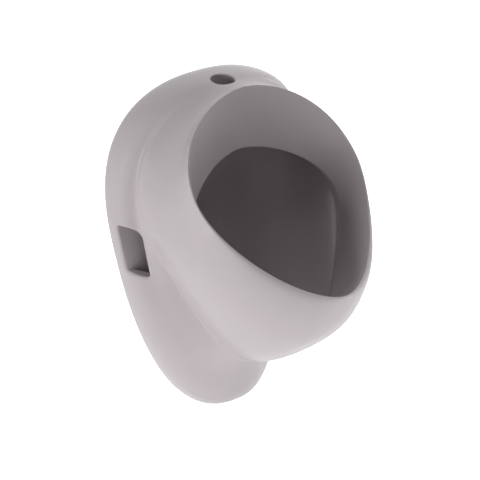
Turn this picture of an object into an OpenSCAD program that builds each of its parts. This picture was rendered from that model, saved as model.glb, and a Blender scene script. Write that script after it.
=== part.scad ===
// Wall hung urinal: a glazed ceramic bowl on a deep back, with its waste, trap and wall fixings.
// Lengths in millimetres. X is to the right, +Y goes into the wall, +Z is up.
// The origin lies on the wall plane, midway between the two wall fixings.

/* [Ceramic body] */
// Height of the ceramic body, from the foot of the trap housing to its crest
body_h = 511; // [490:1:540]
// Width of the ring that gives the body its breadth
body_w = 348; // [335:1:365]
// Depth from the wall to the front of the lip
body_d = 327; // [310:1:345]
// Height of the underside of the bowl's floor above the foot
under_floor_h = 112; // [108:1:120]
// Depth of the trap housing where the bowl's belly leaves it
housing_d = 116; // [112:1:124]
// Thickness of the ceramic walls
wall_t = 12; // [11:0.5:13]
// Thickness of the flange that lies against the wall
flange_t = 16; // [13:0.5:18]
// Thickness of the floor round the waste hole
floor_t = 12; // [11:0.5:13]
// Radius across the rounded lip
lip_r = 3.5; // [3:0.5:5]

/* [Water inlet] */
// Bore of the inlet hole in the top
inlet_d = 35; // [30:0.5:37]
// Distance from the wall to the middle of the inlet hole
inlet_y = 68; // [64:1:71]

/* [Side pockets] */
// Height of each side pocket
pocket_h = 73.4; // [60:0.1:85]
// Width of each side pocket, front to back
pocket_w = 25.6; // [22:0.1:26]
// Distance from the wall to the back edge of the pocket
pocket_back = 27.5; // [25:0.1:28]
// Slope of the pocket's top and bottom edges, which fall towards the front
pocket_slope = 0.41; // [0:0.01:0.45]
// Drop of the pocket's middle below the wall fixings
pocket_drop = 3; // [0:0.5:4]
// Radius of the pocket's upper front corner
pocket_big_r = 22; // [8:1:22]
// Radius of the pocket's other corners
pocket_small_r = 3.2; // [3:0.1:6]
// Depth of the pockets from the body's widest side
pocket_depth = 49; // [44:1:52]

/* [Wall fixings] */
// Distance between the two wall fixings
fix_spacing = 226; // [222:1:228]
// Hole for each fixing through the pad
fix_hole_d = 12; // [11.5:0.5:14]
// Distance from each fixing's axis to the inner edge of its thick pad
pad_in = 24; // [20:1:26]
// Height of the thick pad
pad_h = 100; // [90:1:110]
// Diameter of each fixing bolt
bolt_d = 8; // [7:0.5:8.5]
// Length of the bolt inside the wall
bolt_wall_l = 22; // [18:1:24]
// Thickness of the sleeve's collar
sleeve_collar_t = 2; // [1.5:0.25:2.5]
// Outer diameter of the washers
washer_d = 18; // [16:0.5:22]
// Thickness of the washers
washer_t = 1.6; // [1.2:0.1:2]
// Nut size across flats
nut_flats = 13; // [12:0.5:14]
// Nut height
nut_h = 6.5; // [5:0.5:7]
// Length of bolt that stands out in front of its nut
bolt_end_l = 2.5; // [2:0.5:4]
// Outer diameter of each wall anchor
anchor_d = 12; // [11.5:0.5:14]
// Length of each wall anchor
anchor_l = 50; // [49:1:60]

/* [Waste] */
// Gap between the waste's thread and its hole in the floor
thread_gap = 2; // [1.5:0.25:3]
// Overlap of the waste's flange over the floor
waste_lap = 5; // [4:0.5:6]
// Thickness of the waste's flange
waste_flange_t = 4; // [3.5:0.25:5]
// Wall of the waste's tube
waste_wall = 3.5; // [3:0.25:4]
// Thickness of the seal above the floor
top_seal_t = 1.5; // [1:0.25:2]
// Thickness of the seal below the floor
floor_seal_t = 4; // [3:0.5:5]
// Thickness of the slip washer under that seal
slip_washer_t = 1; // [0.8:0.1:1.5]
// Depth of the flat seats cut round the waste hole
seat_depth = 1.5; // [1:0.25:2]

/* [Strainer] */
// Thickness of the strainer plate
strainer_t = 2; // [1.6:0.1:2.5]
// Width of the ledge that the strainer rests on
strainer_ledge = 4; // [3:0.5:5]
// Number of slots round the strainer
slot_count = 12; // [8:1:14]
// Width of a strainer slot
slot_w = 3; // [2:0.25:3.5]
// Diameter of the strainer's plain middle
strainer_middle_d = 14; // [12:0.5:16]
// Diameter of the screw that holds the strainer to its tube
screw_d = 5; // [4:0.5:6]
// Length of that screw under its head
screw_l = 7; // [6:0.5:8]
// Diameter of the screw's head
screw_head_d = 9; // [8:0.5:10]
// Thickness of the screw's head
screw_head_t = 1; // [0.8:0.1:1.4]

/* [Trap] */
// Gap between the trap and the bulb's inner front wall
trap_clear = 6; // [5.5:0.5:8]
// Gap between the trap and the outlet nut
trap_nut_gap = 6; // [5:0.5:8]
// Width of the trap's shoulder outside the waste hole
trap_shoulder = 3.2; // [2.8:0.1:4]
// Wall thickness of the trap
trap_wall = 3; // [2.5:0.25:3.25]
// Height of the threaded collar on the trap
trap_collar_h = 9; // [8:0.5:10]
// Gap between the outlet socket and the joint of the cup
cup_joint_gap = 3; // [2:0.5:4]
// Overlap of the cup over the trap body
cup_lap = 7; // [6:0.5:8]
// Thickness of the seal between cup and body
cup_seal_t = 2; // [1.5:0.25:2.5]
// Gap between the dip tube and the waste's bore
dip_side_gap = 2.5; // [2.4:0.1:3]
// Wall thickness of the dip tube
dip_wall = 2; // [1.5:0.25:2.5]
// Gap between the dip tube and the bottom of the cup
dip_gap = 8; // [6:0.5:10]
// Height of the thick collar at the dip tube's top
dip_collar_h = 15; // [13:0.5:18]
// Thickness of the ring seal on the dip tube
ring_seal_t = 2.2; // [1.8:0.1:2.3]
// Distance of the ring seal below the strainer
ring_seal_down = 9; // [8:0.25:10]
// Height of the cross inside the dip tube
cross_h = 6; // [5:0.5:8]
// Thickness of the cross inside the dip tube
cross_t = 3; // [2:0.25:4]
// Gap between the cup and the ceramic under it
cup_clear = 3.5; // [3:0.25:5]

/* [Outlet] */
// Outer diameter of the outlet pipe
pipe_d = 32; // [30:0.5:33]
// Wall thickness of the outlet pipe
pipe_wall = 1.8; // [1.5:0.1:2.2]
// Length of the outlet pipe behind the wall plane
pipe_wall_l = 70; // [60:1:90]
// Thickness of the outlet socket
socket_wall = 3.2; // [2.5:0.1:3.5]
// Distance from the wall to the back of the trap as a share of the housing's depth
trap_back_share = 0.2543; // [0.24:0.0005:0.265]
// Thickness of the outlet nut round its thread
outlet_nut_t = 4; // [3:0.25:4.5]
// Thickness of the outlet nut's inner lip
outlet_lip_t = 3; // [2.5:0.25:3.5]
// Gap between the outlet nut and the wall
outlet_nut_gap = 3.5; // [3:0.25:4.5]
// Number of grips round the outlet nut
grip_count = 12; // [8:1:16]
// Length of those grips
grip_l = 12; // [10:0.5:14]
// Width of those grips
grip_w = 4; // [3:0.25:5]
// Height of those grips
grip_h = 1.5; // [1:0.25:2]
// Thickness of the outlet seal
outlet_seal_t = 3; // [2.5:0.25:3.5]
// Thickness of the slip ring behind it
slip_ring_t = 1.8; // [1.5:0.1:2.2]
// Length of the rubber sleeve inside the wall
wall_sleeve_l = 30; // [25:1:35]
// Diameter of the rubber sleeve inside the wall
wall_sleeve_d = 46; // [44:0.5:48]
// Diameter of the sleeve's thin flange
wall_sleeve_flange_d = 52; // [50:0.5:54]
// Thickness of the sleeve's thin flange
wall_sleeve_flange_t = 2; // [1.5:0.25:3]

/* [Hidden] */
$fn = 64;

// One overrun serves all cuts.
over = 1;
// Gap round pieces that thread or slip into each other
fit_gap = 0.2;
// Gap between pieces that only lie near each other
rest_gap = 0.3;
// Gap round the lift-out tube, which slides in the waste
slide_gap = 0.08;
// Points round each ring of the ceramic, a multiple of four
ring_n = 56;

glaze_color = [0.88, 0.87, 0.87];
chrome_color = [0.75, 0.76, 0.78];
plastic_color = [0.93, 0.93, 0.91];
rubber_color = [0.15, 0.15, 0.16];
nylon_color = [0.95, 0.95, 0.93];
zinc_color = [0.70, 0.71, 0.70];

// Each ring of the ceramic is an egg-shaped superellipse, bent forward along Y. A row of shares holds
// its top and bottom as shares of the body's height, its half width as a share of half the body's
// width, how much wider it is at the top, the squareness of its upper and lower halves, the distances
// from the wall of its top, sides and bottom as shares of the body's depth, and the skew of that bend.
wall_edge_shares = [0.975, 0.048, 0.869, 0.35, 2.34, 2.66, 0.000, 0.000, 0.000, 0];
back_shares = [0.980, 0.041, 0.883, 0.35, 2.34, 2.66, 0.009, 0.009, 0.009, 0];
crest_shares = [1.000, 0.000, 0.917, 0.35, 2.40, 2.66, 0.061, 0.055, 0.104, 0.2];
shoulder_shares = [0.992, 0.065, 0.796, 0.35, 2.32, 2.48, 0.220, 0.156, 0.284, 0];
neck_shares = [0.989, 0.186, 0.805, 0.50, 2.00, 2.40, 0.250, 0.226, 0.355, -0.45];
belly_shares = [0.988, 0.338, 0.838, 0.07, 1.92, 2.43, 0.324, 0.502, 0.850, 0.1];
lip_shares = [0.990, 0.4855, 0.857, 0.12, 1.77, 1.80, 0.343, 0.590, 1.000, 0.07];
apron_shares = [0.805, 0.355, 0.776, 0.18, 1.76, 2.10, 0.318, 0.506, 0.737, 0.5];
apron_under_shares = [0.804, 0.349, 0.776, 0.17, 1.78, 2.10, 0.303, 0.492, 0.728, 0.5];

// The bowl's inner rings, one wall thickness outside the cavity, from the apron to the back.
cavity_shares = [
    [0.839, 0.312, 0.842, 0.14, 1.90, 2.15, 0.281, 0.471, 0.713, 0.5],
    [0.985, 0.271, 0.816, 0.12, 2.10, 2.20, 0.278, 0.422, 0.648, 0.4],
    [0.989, 0.234, 0.782, 0.17, 2.20, 2.25, 0.251, 0.306, 0.538, 0.3],
    [0.989, 0.221, 0.701, 0.20, 2.20, 2.50, 0.190, 0.232, 0.391, 0.2],
    [0.972, 0.219, 0.563, 0.20, 2.20, 3.20, 0.135, 0.177, 0.263, 0.2],
    [0.915, 0.219, 0.437, 0.20, 2.20, 3.60, 0.113, 0.135, 0.128, 0.2],
    [0.807, 0.232, 0.333, 0.20, 2.20, 3.20, 0.101, 0.107, 0.080, 0],
    [0.700, 0.369, 0.195, 0.10, 2.00, 2.40, 0.092, 0.095, 0.076, 0]
];
cavity_end_shares = [0.089, 0.558];

// The flange's inner edge, and the hollow behind it, one wall thickness outside the hollow.
flange_edge_shares = [0.921, 0.071, 0.494, 0.22, 2.50, 2.60, 0.000, 0.000, 0.000, 0];
hollow_shares = [
    [0.991, 0.006, 0.897, 0.32, 2.45, 2.60, 0.064, 0.064, 0.076, 0],
    [0.999, -0.002, 0.922, 0.34, 2.40, 2.60, 0.076, 0.076, 0.122, 0.1],
    [0.983, 0.015, 0.822, 0.35, 2.35, 2.50, 0.092, 0.128, 0.232, 0.1],
    [0.944, 0.068, 0.764, 0.30, 2.30, 2.40, 0.086, 0.150, 0.269, 0.1],
    [0.909, 0.144, 0.701, 0.26, 2.25, 2.40, 0.076, 0.141, 0.294, 0.1]
];
// The back of the bowl inside the hollow, one wall thickness inside it.
bowl_back_shares = [
    [0.819, 0.239, 0.471, 0.22, 2.25, 3.20, 0.104, 0.144, 0.294, 0.1],
    [0.760, 0.239, 0.356, 0.20, 2.20, 3.60, 0.098, 0.113, 0.141, 0.1],
    [0.662, 0.251, 0.207, 0.20, 2.20, 2.80, 0.089, 0.095, 0.080, 0],
    [0.604, 0.396, 0.046, 0.20, 2.00, 2.20, 0.086, 0.089, 0.078, 0]
];
bowl_back_end_shares = [0.086, 0.513];
// Height of the wall fixings
fix_height_share = 0.549;
// Where the bowl's floor and the housing's depth lie among the shares
floor_share = 0.219;
housing_share = 0.355;
// Radius of the cup's rounded bottom edge, as a share of the cup's height
cup_round_share = 0.5;

// Shares below the floor go with its height, and shares within the housing with its depth.
function up(s) = s < floor_share ? s / floor_share * under_floor_h
    : under_floor_h + (s - floor_share) / (1 - floor_share) * (body_h - under_floor_h);
function out(s) = s < housing_share ? s / housing_share * housing_d
    : housing_d + (s - housing_share) / (1 - housing_share) * (body_d - housing_d);
fix_h = up(fix_height_share);
function sized(s, inset) = [
    up(s[0]) - inset, up(s[1]) + inset, s[2] * body_w / 2 - inset,
    s[3], s[4], s[5], -out(s[6]), -out(s[7]), -out(s[8]), s[9]
];
function moved_back(r, d) = [for (i = [0:9]) i >= 6 && i <= 8 ? r[i] + d : r[i]];
function with_bottom(r, z) = [for (i = [0:9]) i == 1 ? z : r[i]];

wall_edge = sized(wall_edge_shares, 0);
back = sized(back_shares, 0);
crest = sized(crest_shares, 0);
shoulder = sized(shoulder_shares, 0);
neck = sized(neck_shares, 0);
belly = sized(belly_shares, 0);
lip = sized(lip_shares, 0);
lip_inside = sized(lip_shares, lip_r);
apron = sized(apron_shares, 0);
apron_under = sized(apron_under_shares, 0);

// Floor of the bowl round the waste, and the flat seats cut into it
sump_z = under_floor_h + wall_t;
floor_z = sump_z - seat_depth;
floor_under_z = floor_z - floor_t;
roof_z = floor_under_z - 2 * seat_depth;
cavity = [for (s = cavity_shares) sized(s, wall_t)];
flange_edge = sized(flange_edge_shares, 0);
hollow = [for (s = hollow_shares) sized(s, wall_t)];
bowl_back = [for (i = [0:3]) let (r = moved_back(sized(bowl_back_shares[i], -wall_t), wall_t))
    i < 2 ? with_bottom(r, roof_z) : r];

// A mix of two rings: shares of the way for the shape, for the bottom and for the place along Y.
function mix(a, b, shape, low, along) = [for (i = [0:9])
    a[i] + (b[i] - a[i]) * (i == 1 ? low : i >= 6 && i <= 8 ? along : shape)];
function arc_steps(n) = [for (i = [1:n - 1]) 90 * i / n];

lip_steps = 3;
flank_steps = 4;
shoulder_steps = 4;
band_steps = 3;
edge_steps = 3;
band = [for (i = [1:band_steps]) let (t = i / band_steps) mix(apron, lip_inside, t, t, t)];
flank_front = [for (t = arc_steps(lip_steps)) mix(lip, belly, sin(t), 1 - cos(t), 1 - cos(t))];
flank = [for (t = arc_steps(flank_steps)) mix(belly, neck, 1 - cos(t), sin(t), t / 90)];
round_front = [for (t = arc_steps(shoulder_steps)) mix(shoulder, crest, sin(t), sin(t), 1 - cos(t))];
round_back = [for (t = arc_steps(edge_steps)) mix(crest, back, 1 - cos(t), 1 - cos(t), sin(t))];

rings = concat(
    [for (i = [len(cavity) - 1:-1:0]) cavity[i]],
    [apron_under, apron], band,
    [lip], flank_front, [belly], flank, [neck, shoulder], round_front, [crest], round_back, [back, wall_edge],
    [flange_edge, moved_back(flange_edge, -flange_t)], hollow, bowl_back
);

function power(v, e) = sign(v) * pow(abs(v), e);
function ring_point(r, a) = let (
        n = (r[4] + r[5]) / 2 + (r[4] - r[5]) / 2 * cos(a),
        u = power(cos(a), 2 / n),
        bend = (r[6] + r[8]) / 2 - r[7],
        lean = (r[6] - r[8]) / 2
    ) [
        r[2] * power(sin(a), 2 / n) * (1 + r[3] * u),
        r[7] + bend * u * u + lean * ((1 - r[9]) * u + r[9] * u * u * u),
        (r[0] + r[1]) / 2 + (r[0] - r[1]) / 2 * u
    ];

// Points: the middle of the bowl's back, every ring in turn, and the middle of the hollow's face.
body_points = concat(
    [[0, -out(cavity_end_shares[0]), up(cavity_end_shares[1])]],
    [for (r = rings) for (j = [0:ring_n - 1]) ring_point(r, 360 * j / ring_n)],
    [[0, wall_t - out(bowl_back_end_shares[0]), up(bowl_back_end_shares[1])]]
);
// Index of point j on ring i
function at(i, j) = 1 + i * ring_n + (j % ring_n);
body_faces = concat(
    [for (j = [0:ring_n - 1]) [0, at(0, j), at(0, j + 1)]],
    [for (i = [0:len(rings) - 2]) for (j = [0:ring_n - 1]) each j < ring_n / 2
        ? [[at(i, j), at(i + 1, j), at(i, j + 1)], [at(i + 1, j), at(i + 1, j + 1), at(i, j + 1)]]
        : [[at(i, j), at(i + 1, j + 1), at(i, j + 1)], [at(i, j), at(i + 1, j), at(i + 1, j + 1)]]],
    [for (j = [0:ring_n - 1]) [at(len(rings) - 1, j + 1), at(len(rings) - 1, j), len(body_points) - 1]]
);

// The trap fills the space between the outlet nut and the bulb's front wall, and the waste follows it.
trap_front = -hollow[3][8] - trap_clear;
trap_back = trap_back_share * housing_d;
outlet_nut_l = trap_back - outlet_nut_gap - trap_nut_gap;
trap_d = trap_front - trap_back;
waste_y = (trap_front + trap_back) / 2;
waste_hole_d = trap_d - 2 * trap_shoulder;
waste_thread_d = waste_hole_d - 2 * thread_gap;
waste_bore_d = waste_thread_d - 2 * waste_wall;
waste_flange_d = waste_hole_d + 2 * waste_lap;

module placed() {
    translate([0, 0, -fix_h])
        children();
}
// Along the waste's upright axis, at a height from the foot of the body
module on_waste(z) {
    placed()
        translate([0, -waste_y, z])
            children();
}
// Along the outlet's axis, which points into the wall, at a distance from the wall plane
module on_outlet(y) {
    placed()
        translate([0, y, outlet_z])
            rotate([-90, 0, 0])
                children();
}
// At both wall fixings, pointing into the wall
module at_fixings(y) {
    for (side = [-1, 1])
        translate([side * fix_spacing / 2, y, 0])
            rotate([-90, 0, 0])
                children();
}
module tube(d_out, d_in, h) {
    difference() {
        cylinder(d = d_out, h = h);
        translate([0, 0, -over])
            cylinder(d = d_in, h = h + 2 * over);
    }
}

// Ceramic body

pad_t = pocket_back + rest_gap;
pad_start_y = flange_t / 2;
pad_side_x = fix_spacing / 2 - pad_in;
pocket_reach = body_w / 2 + wall_t;
pocket_in = body_w / 2 - pocket_depth;
seat_d = waste_flange_d + 2 * rest_gap;
spot_d = waste_flange_d + 2 * over;
module pocket_outline() {
    // x here runs from the wall towards the front, y is up from the fixings
    intersection() {
        pocket_shape(pocket_small_r);
        pocket_shape(pocket_big_r);
    }
}
module pocket_shape(front_top_r) {
    bottom = -pocket_h / 2 - pocket_drop;
    hull() {
        pocket_corner(pocket_back + pocket_small_r, bottom + pocket_small_r, pocket_small_r);
        pocket_corner(pocket_back + pocket_small_r, bottom + pocket_h - pocket_small_r, pocket_small_r);
        pocket_corner(pocket_back + pocket_w - pocket_small_r, bottom + pocket_small_r, pocket_small_r);
        pocket_corner(pocket_back + pocket_w - front_top_r, bottom + pocket_h - front_top_r, front_top_r);
    }
}
module pocket_corner(x, z, r) {
    translate([x, z - pocket_slope * (x - pocket_back - pocket_w / 2)])
        circle(r = r, $fn = 32);
}
module side_pocket(side) {
    translate([side > 0 ? pocket_in : -pocket_reach, 0, 0])
        rotate([90, 0, 90])
            mirror([1, 0, 0])
                linear_extrude(height = pocket_reach - pocket_in)
                    pocket_outline();
}
// A thick pad stands behind each wall fixing and ends inside the outer wall.
function flat(r) = [for (j = [0:ring_n - 1]) let (p = ring_point(r, 360 * j / ring_n)) [p[0], p[2]]];
module fixing_pad(side) {
    translate([0, -pad_start_y, fix_h])
        rotate([90, 0, 0])
            linear_extrude(height = pad_t - pad_start_y)
                intersection() {
                    translate([0, -fix_h])
                        polygon(flat(sized(crest_shares, wall_t / 3)));
                    translate([side > 0 ? pad_side_x : -pad_side_x - body_w / 2, -pad_h / 2])
                        square([body_w / 2, pad_h]);
                }
}
module ceramic_body() {
    color(glaze_color)
        difference() {
            placed()
                union() {
                    polyhedron(points = body_points, faces = body_faces, convexity = 10);
                    fixing_pad(-1);
                    fixing_pad(1);
                }
            placed()
                translate([0, -inlet_y, sized(cavity_shares[1], wall_t)[0] - wall_t])
                    cylinder(d = inlet_d, h = 4 * wall_t);
            on_waste(floor_z)
                cylinder(d = seat_d, h = wall_t);
            on_waste(roof_z - floor_t)
                cylinder(d = waste_hole_d, h = 3 * floor_t);
            on_waste(floor_under_z - floor_t)
                cylinder(d = spot_d, h = floor_t);
            at_fixings(-pad_t - over)
                cylinder(d = fix_hole_d, h = pad_t + 2 * over);
            side_pocket(-1);
            side_pocket(1);
        }
}

// Waste and strainer

waste_flange_z = floor_z + top_seal_t;
waste_top_z = waste_flange_z + waste_flange_t;
trap_collar_z = floor_under_z - floor_seal_t - slip_washer_t;
waste_thread_end_z = trap_collar_z - trap_collar_h;
strainer_d = waste_bore_d + 2 * strainer_ledge;
strainer_seat_z = waste_top_z - strainer_t;
module waste_flange() {
    color(chrome_color)
        difference() {
            union() {
                on_waste(waste_flange_z)
                    cylinder(d = waste_flange_d, h = waste_flange_t);
                on_waste(waste_thread_end_z)
                    cylinder(d = waste_thread_d, h = waste_top_z - waste_thread_end_z - over);
            }
            on_waste(waste_thread_end_z - over)
                cylinder(d = waste_bore_d, h = waste_top_z - waste_thread_end_z + 2 * over);
            on_waste(strainer_seat_z)
                cylinder(d = strainer_d, h = strainer_t + over);
        }
}
module waste_top_seal() {
    color(rubber_color)
        on_waste(floor_z)
            tube(waste_flange_d - fit_gap, waste_thread_d + 2 * fit_gap, top_seal_t);
}
module floor_seal() {
    color(rubber_color)
        on_waste(floor_under_z - floor_seal_t)
            tube(waste_flange_d, waste_thread_d + 2 * fit_gap, floor_seal_t);
}
module slip_washer() {
    color(nylon_color)
        on_waste(trap_collar_z)
            tube(waste_flange_d, waste_thread_d + 2 * fit_gap, slip_washer_t);
}

// Lift-out strainer and dip tube, one piece to the hand

dip_d = waste_bore_d - 2 * dip_side_gap;
socket_d = pipe_d + 2 * fit_gap + 2 * socket_wall;
outlet_z = trap_collar_z - trap_collar_h / 2 - pipe_d / 2 - socket_wall;
body_step_z = outlet_z - socket_d / 2 - cup_joint_gap;
cup_top_z = body_step_z - cup_seal_t;
cup_bottom_z = hollow[2][1] + cup_clear;
cup_h = cup_top_z - cup_bottom_z;
cup_round = cup_round_share * cup_h;

slot_in = strainer_middle_d / 2;
slot_out = waste_bore_d / 2 - slot_w / 2;
dip_top_z = strainer_seat_z;
dip_collar_d = waste_bore_d - 2 * slide_gap;
dip_bottom_z = cup_bottom_z + trap_wall + dip_gap;
ring_seal_r = waste_bore_d / 2 - slide_gap - ring_seal_t / 2;
groove_r = ring_seal_r - ring_seal_t / 2 - slide_gap;
groove_h = ring_seal_t + fit_gap;
ring_seal_z = dip_top_z - ring_seal_down;
module strainer() {
    color(chrome_color)
        difference() {
            on_waste(strainer_seat_z + rest_gap)
                cylinder(d = strainer_d - 2 * rest_gap, h = strainer_t);
            for (i = [0:slot_count - 1])
                on_waste(strainer_seat_z - over)
                    rotate([0, 0, 360 * (i + 0.5) / slot_count])
                        translate([slot_in, -slot_w / 2, 0])
                            cube([slot_out - slot_in, slot_w, strainer_t + 2 * over]);
            on_waste(strainer_seat_z - over)
                cylinder(d = screw_d + 2 * fit_gap, h = strainer_t + 2 * over);
        }
}
module strainer_screw() {
    head_z = strainer_seat_z + rest_gap + strainer_t;
    color(zinc_color)
        on_waste(head_z - screw_l)
            difference() {
                union() {
                    cylinder(d = screw_d, h = screw_l);
                    translate([0, 0, screw_l])
                        cylinder(d = screw_head_d, h = screw_head_t);
                }
                translate([-screw_head_d / 2, -slot_w / 6, screw_l + screw_head_t / 2])
                    cube([screw_head_d, slot_w / 3, screw_head_t]);
            }
}
module dip_tube() {
    color(plastic_color) {
        difference() {
            union() {
                on_waste(dip_bottom_z)
                    cylinder(d = dip_d, h = dip_top_z - dip_bottom_z);
                on_waste(dip_top_z - dip_collar_h)
                    cylinder(d = dip_collar_d, h = dip_collar_h);
            }
            on_waste(dip_bottom_z - over)
                cylinder(d = dip_d - 2 * dip_wall, h = dip_top_z - dip_bottom_z + 2 * over);
            on_waste(ring_seal_z - groove_h / 2)
                tube(dip_collar_d + over, 2 * groove_r, groove_h);
        }
        on_waste(dip_top_z - cross_h)
            difference() {
                union() {
                    for (a = [0, 90])
                        rotate([0, 0, a])
                            translate([-(dip_d - dip_wall) / 2, -cross_t / 2, 0])
                                cube([dip_d - dip_wall, cross_t, cross_h]);
                    cylinder(d = screw_head_d, h = cross_h);
                }
                translate([0, 0, -over])
                    cylinder(d = screw_d + 2 * fit_gap, h = cross_h + 2 * over);
            }
    }
}
module dip_tube_seal() {
    color(rubber_color)
        on_waste(ring_seal_z)
            rotate_extrude()
                translate([ring_seal_r, 0])
                    circle(d = ring_seal_t, $fn = 24);
}

// Trap

spigot_d = trap_d - 2 * trap_wall - 2 * fit_gap;
nut_lip_y = -outlet_nut_gap - outlet_lip_t;
slip_ring_y = nut_lip_y - slip_ring_t;
socket_end_y = slip_ring_y - outlet_seal_t;
chamber_z = body_step_z + trap_wall;
chamber_top_z = waste_thread_end_z;
module trap_body() {
    color(plastic_color)
        difference() {
            union() {
                on_waste(body_step_z)
                    cylinder(d = trap_d, h = trap_collar_z - body_step_z);
                on_waste(trap_collar_z - trap_collar_h)
                    cylinder(d = waste_flange_d, h = trap_collar_h);
                on_waste(cup_top_z - cup_lap)
                    cylinder(d = spigot_d, h = body_step_z - cup_top_z + cup_lap + over);
                on_outlet(-waste_y)
                    cylinder(d = socket_d, h = waste_y + socket_end_y);
            }
            on_waste(cup_top_z - cup_lap - over)
                cylinder(d = spigot_d - 2 * trap_wall, h = chamber_z - cup_top_z + cup_lap + 2 * over);
            on_waste(chamber_z)
                cylinder(d = trap_d - 2 * trap_wall, h = chamber_top_z - chamber_z);
            on_waste(chamber_top_z - over)
                cylinder(d = waste_thread_d + 2 * fit_gap, h = trap_collar_z - chamber_top_z + 2 * over);
            on_outlet(-waste_y)
                cylinder(d = pipe_d - 2 * pipe_wall, h = waste_y + socket_end_y + over);
            on_outlet(pipe_end_y - rest_gap)
                cylinder(d = pipe_d + 2 * fit_gap, h = socket_end_y - pipe_end_y + rest_gap + over);
        }
}
module trap_cup() {
    color(plastic_color)
        on_waste(cup_bottom_z)
            difference() {
                cup_solid(trap_d / 2, cup_h, cup_round);
                translate([0, 0, trap_wall])
                    cup_solid(trap_d / 2 - trap_wall, cup_h, cup_round - trap_wall);
            }
}
// A cylinder whose lower edge is rounded off
module cup_solid(r, h, round_r) {
    rotate_extrude()
        union() {
            square([r - round_r, h]);
            translate([0, round_r])
                square([r, h - round_r]);
            intersection() {
                translate([r - round_r, round_r])
                    circle(r = round_r);
                square([r, h]);
            }
        }
}
module trap_cup_seal() {
    color(rubber_color)
        on_waste(cup_top_z)
            tube(trap_d, spigot_d + 2 * fit_gap, cup_seal_t);
}

// Outlet

pipe_end_y = -waste_y + trap_d / 2 + socket_wall;
nut_start_y = -outlet_nut_gap - outlet_nut_l;
outlet_nut_d = socket_d + 2 * fit_gap + 2 * outlet_nut_t;
module outlet_nut() {
    color(plastic_color)
        difference() {
            union() {
                on_outlet(nut_start_y)
                    cylinder(d = outlet_nut_d, h = outlet_nut_l);
                for (i = [0:grip_count - 1])
                    on_outlet(nut_start_y)
                        rotate([0, 0, 360 * i / grip_count])
                            translate([outlet_nut_d / 2 - over, -grip_w / 2, 0])
                                cube([grip_h + over, grip_w, grip_l]);
            }
            on_outlet(nut_start_y - over)
                cylinder(d = socket_d + 2 * fit_gap, h = nut_lip_y - nut_start_y + over);
            on_outlet(nut_lip_y - over)
                cylinder(d = pipe_d + 2 * fit_gap, h = outlet_lip_t + 2 * over);
        }
}
module outlet_slip_ring() {
    color(nylon_color)
        on_outlet(slip_ring_y)
            tube(socket_d, pipe_d + 2 * fit_gap, slip_ring_t);
}
module outlet_seal() {
    color(rubber_color)
        on_outlet(socket_end_y)
            tube(socket_d, pipe_d + fit_gap, outlet_seal_t);
}
module outlet_pipe() {
    color(plastic_color)
        on_outlet(pipe_end_y)
            tube(pipe_d, pipe_d - 2 * pipe_wall, pipe_wall_l - pipe_end_y);
}
module wall_sleeve() {
    color(rubber_color)
        difference() {
            union() {
                on_outlet(0)
                    cylinder(d = wall_sleeve_d, h = wall_sleeve_l);
                on_outlet(0)
                    cylinder(d = wall_sleeve_flange_d, h = wall_sleeve_flange_t);
            }
            on_outlet(-over)
                cylinder(d = pipe_d + fit_gap, h = wall_sleeve_l + 2 * over);
        }
}

// Wall fixings

bolt_front_y = -pad_t - sleeve_collar_t - washer_t - nut_h - bolt_end_l;
sleeve_d = fix_hole_d - 2 * fit_gap;
module fixing_bolts() {
    color(zinc_color)
        at_fixings(bolt_front_y)
            cylinder(d = bolt_d, h = bolt_wall_l - bolt_front_y);
}
module fixing_sleeves() {
    color(nylon_color)
        at_fixings(-pad_t - sleeve_collar_t)
            difference() {
                union() {
                    cylinder(d = sleeve_d, h = pad_t + sleeve_collar_t);
                    cylinder(d = washer_d, h = sleeve_collar_t);
                }
                translate([0, 0, -over])
                    cylinder(d = bolt_d + 2 * fit_gap, h = pad_t + sleeve_collar_t + 2 * over);
            }
}
module fixing_washers() {
    color(zinc_color)
        at_fixings(-pad_t - sleeve_collar_t - washer_t)
            tube(washer_d, bolt_d + 2 * fit_gap, washer_t);
}
module fixing_nuts() {
    color(zinc_color)
        at_fixings(-pad_t - sleeve_collar_t - washer_t - nut_h)
            difference() {
                cylinder(d = nut_flats / cos(30), h = nut_h, $fn = 6);
                translate([0, 0, -over])
                    cylinder(d = bolt_d + fit_gap, h = nut_h + 2 * over);
            }
}
module wall_anchors() {
    color(zinc_color)
        at_fixings(rest_gap)
            difference() {
                cylinder(d = anchor_d, h = anchor_l);
                translate([0, 0, -over])
                    cylinder(d = bolt_d + fit_gap, h = bolt_wall_l + fit_gap + over);
            }
}

ceramic_body();
strainer();
strainer_screw();
dip_tube();
dip_tube_seal();
waste_flange();
waste_top_seal();
floor_seal();
slip_washer();
trap_body();
trap_cup();
trap_cup_seal();
outlet_nut();
outlet_slip_ring();
outlet_seal();
outlet_pipe();
wall_sleeve();
fixing_bolts();
fixing_sleeves();
fixing_washers();
fixing_nuts();
wall_anchors();
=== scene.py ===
import math

import bmesh
import bpy
import numpy as np
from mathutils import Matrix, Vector
from mathutils.bvhtree import BVHTree


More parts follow.
